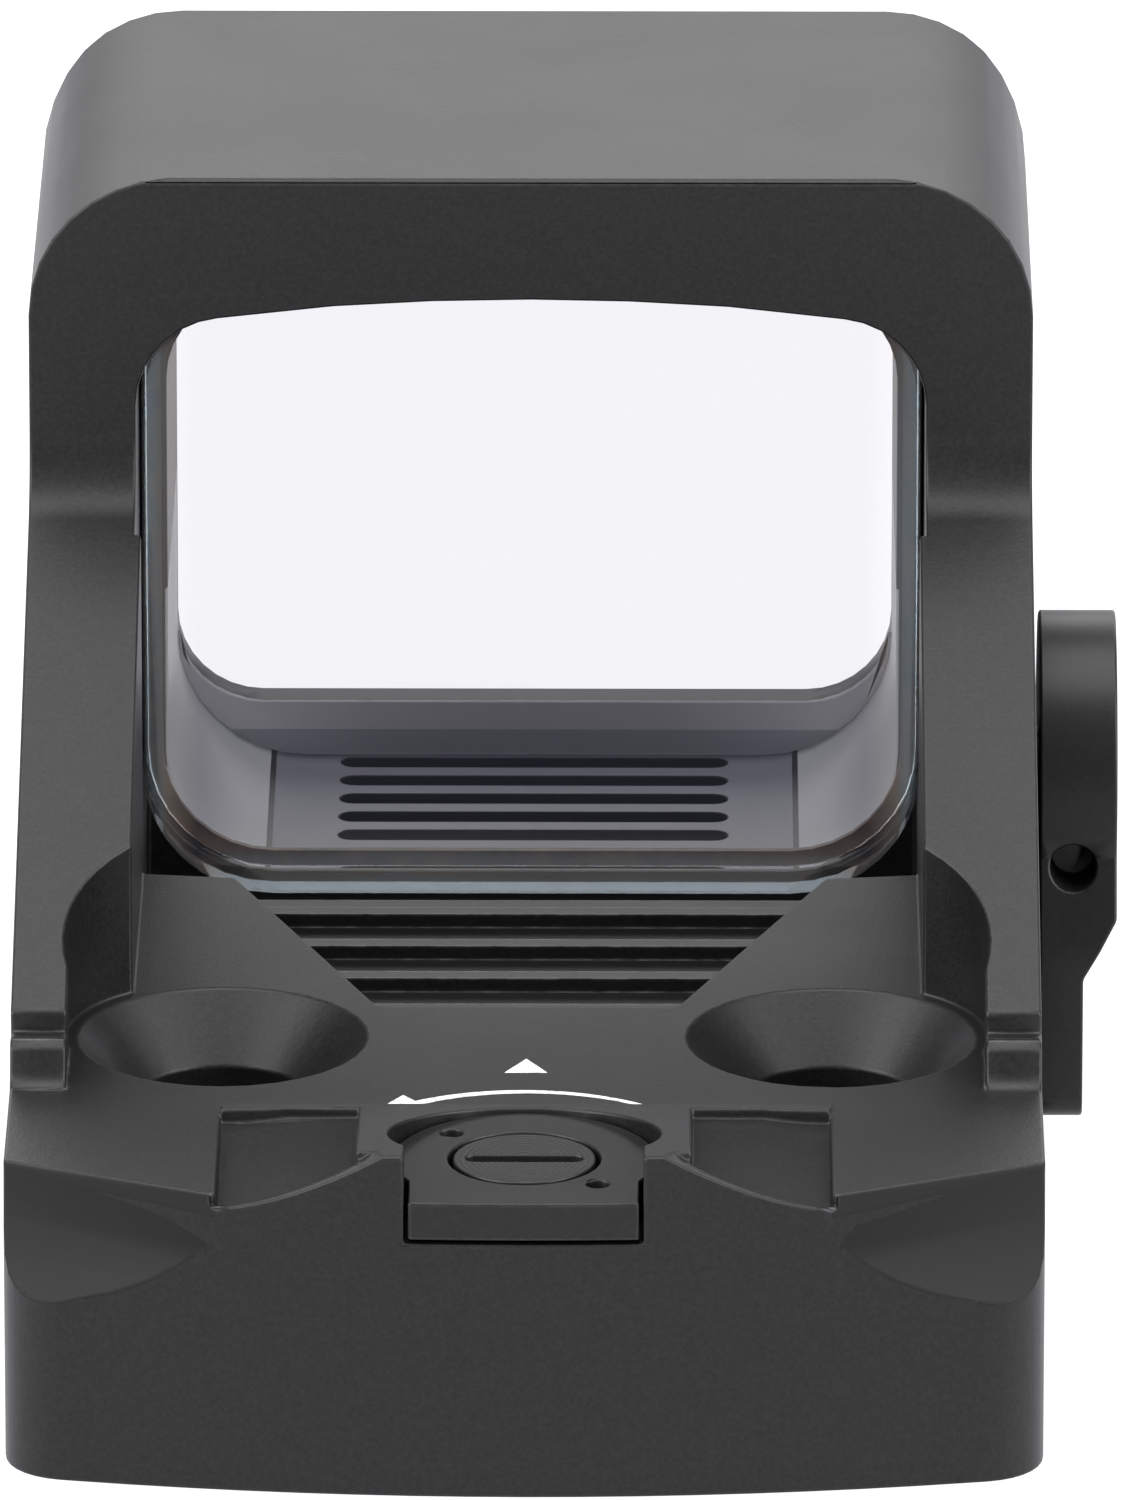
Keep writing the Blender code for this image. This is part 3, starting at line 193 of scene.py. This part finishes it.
def anodised(name, dark, light, worn_and_highlit, rough_low, rough_high, blast, light_and_shade_zones=()):
    """Bead-blasted black anodising: fine speckle, faint clouding, rubbed edges lightened further as a
    painted edge highlight, and painted light and shade in the given zones.
    """
    made, tree, shader = new_material(name)
    place = place_mm(tree)
    speck = noise(tree, place, 9.0, 4.0, 0.7)
    cloud = noise(tree, place, 0.35, 2.0, 0.5)
    body = blend_colour(tree, span(tree, speck, 0.35, 0.68, 0.0, 1.0), dark, light)
    edge = edge_mask(tree, 0.16, 0.03, 0.3)
    patchy = span(tree, noise(tree, place, 2.2, 5.0, 0.65), 0.38, 0.62, 0.25, 1.0)
    # Edges are lightened towards the worn colour: partly rubbed wear, partly a painted edge highlight.
    lighter_edges = math_node(tree, "MULTIPLY", math_node(tree, "MULTIPLY", edge, patchy), 0.6)
    base_rough = span(tree, cloud, 0.3, 0.7, rough_low, rough_high)
    faces = split(tree, tree.nodes.new("ShaderNodeNewGeometry").outputs["Normal"])
    # Painted light and shade: each zone lays its colour over the body, pale where light is painted, black
    # where shade is painted.
    for colour, roughness, limits in light_and_shade_zones:
        mask = zone(tree, place, faces, *limits)
        body = blend_colour(tree, mask, body, colour)
        extra = math_node(tree, "MULTIPLY", mask, roughness)
        base_rough = math_node(tree, "ADD", base_rough, extra)
    feed(tree, shader.inputs["Base Color"], blend_colour(tree, lighter_edges, body, worn_and_highlit))
    feed(tree, shader.inputs["Roughness"], math_node(tree, "SUBTRACT", base_rough,
                                                     math_node(tree, "MULTIPLY", lighter_edges, 0.18)))
    shader.inputs["Specular IOR Level"].default_value = 0.3
    grain = bump(tree, noise(tree, place, 11.0, 3.0, 0.6), blast, 0.012)
    feed(tree, shader.inputs["Normal"], grain)
    return made


def turned(name, node, axis, dark, light, rough):
    """Black turned metal with fine rings about the piece's own axis."""
    low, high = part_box(node)
    made, tree, shader = new_material(name, rough, 0.35)
    place = place_mm(tree, tuple((low + high) / 2))
    flat = {"X": (0.0, 1.0, 1.0), "Z": (1.0, 1.0, 0.0)}[axis]
    length = tree.nodes.new("ShaderNodeVectorMath")
    length.operation = "LENGTH"
    tree.links.new(stretched(tree, place, flat), length.inputs[0])
    rings = math_node(tree, "SINE", math_node(tree, "MULTIPLY", length.outputs["Value"], 52.0))
    speck = noise(tree, place, 10.0, 3.0, 0.6)
    body = blend_colour(tree, span(tree, speck, 0.35, 0.68, 0.0, 1.0), dark, light)
    lighter_edges = math_node(tree, "MULTIPLY", edge_mask(tree, 0.1, 0.03, 0.3), 0.45)
    feed(tree, shader.inputs["Base Color"], blend_colour(tree, lighter_edges, body, (0.16, 0.16, 0.165)))
    feed(tree, shader.inputs["Roughness"], span(tree, rings, -1.0, 1.0, rough - 0.05, rough + 0.06))
    ringed = bump(tree, rings, 0.25, 0.006)
    feed(tree, shader.inputs["Normal"], bump(tree, speck, 0.3, 0.008, ringed))
    return made


def bright_metal(name, colour, rough):
    """Bare or plated metal with brushed scratches and faint tarnish."""
    made, tree, shader = new_material(name, rough, 1.0)
    place = place_mm(tree)
    streak = noise(tree, stretched(tree, place, (1.0, 14.0, 3.0)), 2.5, 4.0, 0.6)
    cloud = noise(tree, place, 0.8, 3.0, 0.6)
    darker = tuple(0.62 * c for c in colour)
    feed(tree, shader.inputs["Base Color"],
         blend_colour(tree, span(tree, cloud, 0.35, 0.65, 0.0, 1.0), darker, colour))
    feed(tree, shader.inputs["Roughness"], span(tree, streak, 0.3, 0.7, rough - 0.08, rough + 0.14))
    feed(tree, shader.inputs["Normal"], bump(tree, streak, 0.2, 0.006))
    return made


def matte(name, dark, light, rough, grain_per_mm, depth_mm):
    """Rubber, cement or moulded plastic: a mottled colour with a fine moulded grain."""
    made, tree, shader = new_material(name, rough)
    place = place_mm(tree)
    grain = noise(tree, place, grain_per_mm, 4.0, 0.6)
    mottle = noise(tree, place, 1.3, 3.0, 0.6)
    feed(tree, shader.inputs["Base Color"],
         blend_colour(tree, span(tree, mottle, 0.35, 0.65, 0.0, 1.0), dark, light))
    feed(tree, shader.inputs["Roughness"], span(tree, grain, 0.3, 0.7, rough - 0.08, rough + 0.08))
    feed(tree, shader.inputs["Normal"], bump(tree, grain, 0.5, depth_mm))
    return made


def board_material():
    """Green solder mask over fine copper tracks."""
    made, tree, shader = new_material("solder_mask", 0.35)
    place = place_mm(tree)
    _, y, z = split(tree, place)
    grid = math_node(tree, "MULTIPLY", math_node(tree, "SINE", math_node(tree, "MULTIPLY", y, 9.0)),
                     math_node(tree, "SINE", math_node(tree, "MULTIPLY", z, 7.0)))
    warped = math_node(tree, "ADD", grid, noise(tree, place, 1.2, 2.0))
    tracks = span(tree, warped, 0.72, 0.78, 0.0, 1.0)
    feed(tree, shader.inputs["Base Color"],
         blend_colour(tree, tracks, (0.006, 0.055, 0.022), (0.02, 0.14, 0.05)))
    feed(tree, shader.inputs["Roughness"], span(tree, noise(tree, place, 4.0), 0.3, 0.7, 0.28, 0.42))
    feed(tree, shader.inputs["Normal"], bump(tree, tracks, 0.4, 0.02))
    return made


def flex_material():
    """Amber polyimide film with copper lines along it."""
    made, tree, shader = new_material("polyimide_film", 0.35)
    place = place_mm(tree)
    x, y, _ = split(tree, place)
    lines = math_node(tree, "SINE", math_node(tree, "MULTIPLY", math_node(tree, "SUBTRACT", x, y), 14.0))
    feed(tree, shader.inputs["Base Color"],
         blend_colour(tree, span(tree, lines, 0.2, 0.5, 0.0, 1.0), (0.42, 0.16, 0.03), (0.6, 0.28, 0.1)))
    feed(tree, shader.inputs["Roughness"], span(tree, noise(tree, place, 3.0), 0.3, 0.7, 0.25, 0.42))
    feed(tree, shader.inputs["Normal"], bump(tree, lines, 0.3, 0.01))
    return made


def lens_material():
    """Coated window: mostly clear with a faint dark tint, a painted amber reflection near its rim and a
    pale grey painted highlight at the very rim.

    Its normal leans upward, so the coat mirrors the sky and not the deck behind it.
    """
    low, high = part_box("window_lens")
    centre = (low + high) / 2
    half = (high - low) / 2 * 1000
    made, tree, shader = new_material("coated_window", 0.03, 0.9)
    place = place_mm(tree, tuple(centre))
    x, _, z = split(tree, place)
    side = math_node(tree, "DIVIDE", math_node(tree, "ABSOLUTE", x), half.x)
    foot = math_node(tree, "DIVIDE", z, -half.z)
    rim = math_node(tree, "MAXIMUM", side, foot)
    ripple = math_node(tree, "ADD", rim, math_node(tree, "MULTIPLY", noise(tree, place, 0.18, 1.0), 0.05))
    cool = blend_colour(tree, span(tree, foot, -0.3, 0.9, 0.0, 1.0), (0.07, 0.07, 0.1), (0.06, 0.06, 0.09))
    # Painted reflection and highlight: an amber band near the rim and a pale grey-blue edge are painted
    # into the coat's colour.
    amber_reflection = blend_colour(tree, span(tree, ripple, 0.88, 0.96, 0.0, 1.0), cool, (0.42, 0.37, 0.34))
    colour = blend_colour(tree, span(tree, ripple, 0.96, 1.0, 0.0, 1.0), amber_reflection, (0.5, 0.6, 0.68))
    feed(tree, shader.inputs["Base Color"], colour)
    smear = noise(tree, place, 0.5, 4.0, 0.6)
    feed(tree, shader.inputs["Roughness"], span(tree, smear, 0.35, 0.7, 0.02, 0.06))
    lean = tree.nodes.new("ShaderNodeVectorMath")
    lean.operation = "ADD"
    tree.links.new(tree.nodes.new("ShaderNodeNewGeometry").outputs["Normal"], lean.inputs[0])
    lean.inputs[1].default_value = (0.0, 0.0, 0.32)
    straight = tree.nodes.new("ShaderNodeVectorMath")
    straight.operation = "NORMALIZE"
    tree.links.new(lean.outputs[0], straight.inputs[0])
    feed(tree, shader.inputs["Normal"], straight.outputs[0])
    shader.inputs["Alpha"].default_value = 0.2
    made.surface_render_method = "BLENDED"
    return made


def paint_material():
    """White marking paint, slightly broken and raised."""
    made, tree, shader = new_material("marking_paint", 0.55)
    place = place_mm(tree)
    broken = noise(tree, place, 7.0, 4.0, 0.7)
    feed(tree, shader.inputs["Base Color"],
         blend_colour(tree, span(tree, broken, 0.36, 0.5, 0.0, 1.0), (0.3, 0.3, 0.3), (0.62, 0.62, 0.62)))
    feed(tree, shader.inputs["Roughness"], span(tree, broken, 0.3, 0.7, 0.45, 0.65))
    feed(tree, shader.inputs["Normal"], bump(tree, broken, 0.4, 0.01))
    return made


def emitter_material():
    made, tree, shader = new_material("red_emitter", 0.2)
    place = place_mm(tree)
    speck = noise(tree, place, 5.0, 3.0)
    feed(tree, shader.inputs["Base Color"],
         blend_colour(tree, span(tree, speck, 0.3, 0.7, 0.0, 1.0), (0.32, 0.01, 0.008), (0.6, 0.04, 0.02)))
    feed(tree, shader.inputs["Roughness"], span(tree, speck, 0.3, 0.7, 0.15, 0.3))
    feed(tree, shader.inputs["Normal"], bump(tree, speck, 0.2, 0.005))
    return made


# ---------------------------------------------------------------- smooth shading and rounded edges

def weld_group():
    """Joins the facets' vertices and shades them smooth, with edges over 28 degrees kept sharp."""
    group = bpy.data.node_groups.new("weld_and_smooth", "GeometryNodeTree")
    group.interface.new_socket("Geometry", in_out="INPUT", socket_type="NodeSocketGeometry")
    group.interface.new_socket("Geometry", in_out="OUTPUT", socket_type="NodeSocketGeometry")
    start = group.nodes.new("NodeGroupInput")
    end = group.nodes.new("NodeGroupOutput")
    weld = group.nodes.new("GeometryNodeMergeByDistance")
    weld.inputs["Distance"].default_value = 2e-6
    faces = group.nodes.new("GeometryNodeSetShadeSmooth")
    edges = group.nodes.new("GeometryNodeSetShadeSmooth")
    edges.domain = "EDGE"
    edges.inputs["Shade Smooth"].default_value = False
    angle = group.nodes.new("GeometryNodeInputMeshEdgeAngle")
    sharp = group.nodes.new("FunctionNodeCompare")
    sharp.operation = "GREATER_THAN"
    sharp.inputs[1].default_value = math.radians(SHARP_DEGREES)
    group.links.new(start.outputs[0], weld.inputs["Geometry"])
    group.links.new(weld.outputs[0], faces.inputs["Geometry"])
    group.links.new(faces.outputs[0], edges.inputs["Geometry"])
    group.links.new(angle.outputs["Unsigned Angle"], sharp.inputs[0])
    group.links.new(sharp.outputs[0], edges.inputs["Selection"])
    group.links.new(edges.outputs[0], end.inputs[0])
    return group


def soften(piece, group, bevel_mm=0.0):
    piece.modifiers.new("weld", "NODES").node_group = group
    if bevel_mm:
        flat = piece.modifiers.new("flat", "DECIMATE")
        flat.decimate_type = "DISSOLVE"
        flat.angle_limit = math.radians(0.6)
        edge = piece.modifiers.new("edge", "BEVEL")
        edge.width = bevel_mm * MM
        edge.segments = 2
        edge.limit_method = "ANGLE"
        edge.angle_limit = math.radians(SHARP_DEGREES)
        edge.use_clamp_overlap = False
    normals = piece.modifiers.new("normals", "WEIGHTED_NORMAL")
    normals.keep_sharp = not bevel_mm
    normals.weight = 80


# ---------------------------------------------------------------- painted mark

def paint(name, outlines, height, thick):
    """Thin closed patches on the deck, one for each outline in metres."""
    work = bmesh.new()
    for outline in outlines:
        low = [work.verts.new((x, y, height)) for x, y in outline]
        high = [work.verts.new((x, y, height + thick)) for x, y in outline]
        work.faces.new(reversed(low))
        work.faces.new(high)
        for k in range(len(outline)):
            j = (k + 1) % len(outline)
            work.faces.new((low[k], low[j], high[j], high[k]))
    bmesh.ops.recalc_face_normals(work, faces=work.faces)
    mesh = bpy.data.meshes.new(name)
    work.to_mesh(mesh)
    work.free()
    made = bpy.data.objects.new(name, mesh)
    bpy.context.scene.collection.objects.link(made)
    return made


def arrow_outlines(centre, radius, first, last, wide):
    """An arc about the turret that narrows to its tail, with an arrowhead, and a small wedge over it."""
    outer, inner = [], []
    for k in range(25):
        t = k / 24
        angle = math.radians(first + (last - first) * t)
        half = wide * (0.62 - 0.3 * t) / 2
        for line, reach in ((outer, radius + half), (inner, radius - half)):
            line.append((centre.x + reach * math.sin(angle), centre.y + reach * math.cos(angle)))
    arc = outer + inner[::-1]
    turn = math.radians(first)
    base = Vector((centre.x + radius * math.sin(turn), centre.y + radius * math.cos(turn)))
    ahead = Vector((-math.cos(turn), math.sin(turn)))
    across = Vector((ahead.y, -ahead.x))
    head = [tuple(base + across * wide * 1.5), tuple(base + ahead * wide * 3.2),
            tuple(base - across * wide * 1.5)]
    spot = Vector((centre.x, centre.y + radius + 1.75 * MM))
    wedge = [(spot.x - 0.5 * MM, spot.y - 0.45 * MM), (spot.x + 0.5 * MM, spot.y - 0.45 * MM),
             (spot.x, spot.y + 0.5 * MM)]
    return [arc, head, wedge]


# ---------------------------------------------------------------- build the look

rear = cad_box[0].y * 1000
front = cad_box[1].y * 1000

# Each zone is painted light or shade: its colour, added roughness, and its limits: |x|, y and z in
# millimetres, then the normal's axis (0 to 2) with its lowest and highest value. FROM_MIDDLE takes in x =
# 0.
FROM_MIDDLE = -0.1
CAVITY_HALF = 9.4
CAVITY_FLOOR = (4.59, 4.7)
CAVITY_HIGH = 12.0
PIT_HEIGHT = (4.2, 4.56)
LEVEL = 0.96
cavity_x = (FROM_MIDDLE, CAVITY_HALF)
cavity_y = (front - 10.2, front - 0.9)
# Painted shade: the up-facing scoops at the rear corners are painted darker than the anodising, and
# rougher.
scoop_painted_shade = ((0.003, 0.003, 0.003), 0.25,
          ((6.7, 12.1), (rear - 0.1, rear + 3.2), (3.9, 7.17), (2, 0.1, 0.97)))
# Painted light: the front lip's rear face inside the cavity is painted near-white, standing in for light
# falling on it.
lip_painted_light = ((0.9, 0.9, 0.91), -0.1,
            ((FROM_MIDDLE, 8.9), (front - 1.1, front - 0.9), (5.25, 8.2), (1, -1.1, -0.6)))
# Painted light: the cavity floor and walls ahead of the window are painted pale grey-lilac, the walls only
# up to CAVITY_HIGH, so a hard line shows there.
cavity_floor_painted_light = ((0.24, 0.24, 0.285), 0.0, (cavity_x, cavity_y, CAVITY_FLOOR, (2, LEVEL, 1.1)))
cavity_walls_painted_light = ((0.55, 0.55, 0.59), 0.0,
                (cavity_x, cavity_y, (CAVITY_FLOOR[0], CAVITY_HIGH), (2, -0.3, LEVEL)))
# Painted shade: the pits under the cavity floor's slots are painted pure black, and rougher.
slot_pits_painted_shade = ((0.0, 0.0, 0.0), 0.4, ((FROM_MIDDLE, 5.5), cavity_y, PIT_HEIGHT, (2, -0.5, 1.1)))
black = anodised("blasted_anodising", (0.004, 0.004, 0.0042), (0.011, 0.011, 0.0115),
                 (0.24, 0.24, 0.25), 0.395, 0.415, 0.45,
                 (scoop_painted_shade, cavity_floor_painted_light, cavity_walls_painted_light, slot_pits_painted_shade, lip_painted_light))
smooth_black = anodised("satin_anodising", (0.005, 0.005, 0.0052), (0.009, 0.009, 0.0095),
                        (0.22, 0.22, 0.23), 0.36, 0.39, 0.2)
finishes = {
    "anodised": black,
    "turned": smooth_black,
    "glass": lens_material(),
    "cement": matte("bond_cement", (0.05, 0.03, 0.015), (0.12, 0.07, 0.03), 0.5, 5.0, 0.02),
    "rubber": matte("black_rubber", (0.012, 0.012, 0.012), (0.02, 0.02, 0.02), 0.72, 9.0, 0.015),
    "plastic": matte("black_moulding", (0.014, 0.014, 0.015), (0.024, 0.024, 0.025), 0.45, 12.0, 0.01),
    "steel": bright_metal("bright_steel", (0.62, 0.62, 0.63), 0.28),
    "gold": bright_metal("gold_plating", (0.85, 0.58, 0.22), 0.25),
    "board": board_material(),
    "flex": flex_material(),
    "emitter": emitter_material(),
}
own_finish = {
    "turret_plate": smooth_black,
    "elevation_screw": turned("turned_dial", "elevation_screw", "Z", (0.006, 0.006, 0.0065),
                              (0.014, 0.014, 0.0145), 0.34),
    "windage_screw": turned("turned_windage", "windage_screw", "X", (0.014, 0.014, 0.015),
                            (0.03, 0.03, 0.031), 0.34),
    "tray_thumbscrew": turned("turned_thumbscrew", "tray_thumbscrew", "X", (0.005, 0.005, 0.0055),
                              (0.012, 0.012, 0.0125), 0.38),
}
bevels = {
    "housing": 0.07, "battery_tray": 0.07, "tray_thumbscrew": 0.06, "turret_plate": 0.05,
    "elevation_screw": 0.05, "windage_screw": 0.05, "window_lens": 0.12, "bottom_cover": 0.05,
    "button_down": 0.12, "button_up": 0.12, "battery_cell": 0.1,
}

group = weld_group()
slots = {part["node"]: part["material_slot"] for part in frame["record"]["subparts"]}
for name, piece in nodes.items():
    look = own_finish.get(name, finishes[slots[name]])
    for held in piece.material_slots:
        held.material = look
    soften(piece, group, bevels.get(name, 0.0))

ARC_RADIUS = 4.45 * MM
ARC_DEGREES = (-34.0, 37.0)
ARC_WIDE = 0.42 * MM
PAINT_LIFT = 0.004 * MM
PAINT_THICK = 0.012 * MM
dial_low, dial_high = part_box("elevation_screw")
turret_centre = (dial_low + dial_high) / 2
mark = paint("deck_mark", arrow_outlines(turret_centre, ARC_RADIUS, *ARC_DEGREES, ARC_WIDE),
             dial_high.z + PAINT_LIFT, PAINT_THICK)
mark.data.materials.append(paint_material())
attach(mark, "housing")


# ---------------------------------------------------------------- floor, light and camera

def stage_material():
    made, tree, shader = new_material("pale_floor", 0.9)
    place = place_mm(tree)
    feed(tree, shader.inputs["Base Color"],
         blend_colour(tree, noise(tree, place, 0.02, 2.0), (0.1, 0.1, 0.1), (0.12, 0.12, 0.12)))
    shader.inputs["Emission Color"].default_value = (0.985, 0.975, 1.03, 1.0)
    shader.inputs["Emission Strength"].default_value = 1.06
    return made


bpy.ops.mesh.primitive_plane_add(size=6.0, location=(0, 0, cad_box[0].z - 0.00002))
floor = bpy.context.object
floor.name = "floor"
floor.data.materials.append(stage_material())


def softbox(name, place, aim, width, height, power):
    data = bpy.data.lights.new(name, "AREA")
    data.shape = "RECTANGLE"
    data.size = width
    data.size_y = height
    data.energy = power
    made = bpy.data.objects.new(name, data)
    made.location = place
    made.rotation_euler = (Vector(aim) - Vector(place)).to_track_quat("-Z", "Y").to_euler()
    bpy.context.scene.collection.objects.link(made)


heart = (cad_box[0] + cad_box[1]) / 2
softbox("key_left", (-0.42, -0.16, 0.3), heart, 0.4, 0.5, 4.1)
softbox("key_right", (0.42, -0.16, 0.26), heart, 0.4, 0.5, 3.5)
softbox("back_sweep", (0.0, 0.62, 0.3), heart, 0.9, 0.3, 1.75)
softbox("overhead", (0.0, 0.05, 0.6), heart, 0.5, 0.5, 3.4)

world = bpy.data.worlds.new("studio")
world.use_nodes = True
world.node_tree.nodes["Background"].inputs["Color"].default_value = (0.96, 0.97, 1.0, 1.0)
world.node_tree.nodes["Background"].inputs["Strength"].default_value = 0.52
bpy.context.scene.world = world
bpy.context.scene.view_settings.view_transform = "Standard"

AZIMUTH = math.radians(0.3)
ELEVATION = math.radians(19.0)
DISTANCE = 0.5
aim = Vector((0.79, 0.0, 11.29)) * MM
back = Vector((math.sin(AZIMUTH) * math.cos(ELEVATION), -math.cos(AZIMUTH) * math.cos(ELEVATION),
               math.sin(ELEVATION)))
lens_data = bpy.data.cameras.new("camera")
lens_data.sensor_fit = "HORIZONTAL"
lens_data.sensor_width = 36.0
lens_data.lens = 674.1
lens_data.clip_start = 0.01
lens_data.clip_end = 20.0
camera = bpy.data.objects.new("camera", lens_data)
camera.location = aim + back * DISTANCE
camera.rotation_euler = (-back).to_track_quat("-Z", "Y").to_euler()
bpy.context.scene.collection.objects.link(camera)
bpy.context.scene.camera = camera
